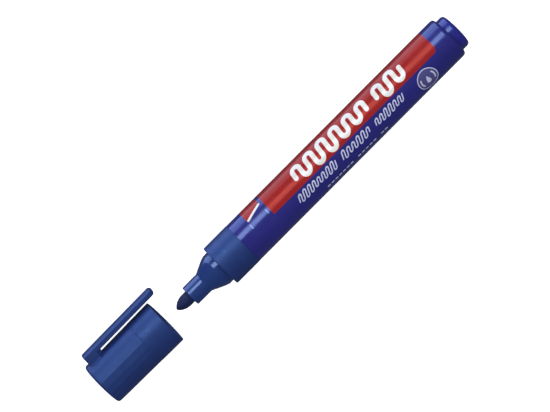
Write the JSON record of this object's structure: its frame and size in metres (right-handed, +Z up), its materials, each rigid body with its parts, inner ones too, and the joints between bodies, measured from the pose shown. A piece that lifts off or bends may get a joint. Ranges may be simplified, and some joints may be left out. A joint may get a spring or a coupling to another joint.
{
  "type": "felt tip marker",
  "caption": "Felt tip marker with a bullet nib, a sealing cap drawn off its nose, a flexing pocket clip and a plugged barrel.",
  "frame": {"origin": "on the surface that the marker lies on, under the middle of the object with its cap drawn off", "axes": "+X along the marker from the nib to the end plug, +Z up, and +Y on the clip's side"},
  "size_m": [0.162, 0.0201, 0.0166],
  "materials": {
    "barrel_gloss": "glossy blue-violet, with a printed label",
    "collar_matte": "fine matte moulding",
    "nose_gloss": "glossy moulding",
    "nib_felt": "bonded fibre, dark with ink",
    "ink_fibre": "fibre soaked with ink",
    "clear_film": "thin clear film",
    "plug_gloss": "glossy moulding",
    "cap_matte": "fine matte moulding",
    "liner_white": "smooth natural moulding",
    "clip_matte": "fine matte moulding"
  },
  "bodies": {
    "marker": {"barrel": "barrel_gloss", "grip_collar": "collar_matte", "nose_cone": "nose_gloss", "nib": "nib_felt", "ink_reservoir": "ink_fibre", "reservoir_film": "clear_film", "end_plug": "plug_gloss"},
    "cap": {"cap_shell": "cap_matte", "inner_cap": "liner_white"},
    "clip": {"pocket_clip": "clip_matte"}
  },
  "joints": [
    {"name": "cap_slide", "type": "slide", "parent": "marker", "child": "cap", "axis": [-1, 0, 0], "range_m": [-0.0249, 0.015]},
    {"name": "clip_flex", "type": "hinge", "parent": "cap", "child": "clip", "pos_m": [-0.07283, 0.00827, 0.01042], "axis": [0, -0.2079, 0.9781], "range_deg": [0, 7], "stiffness_Nm_per_rad": 0.3}
  ]
}
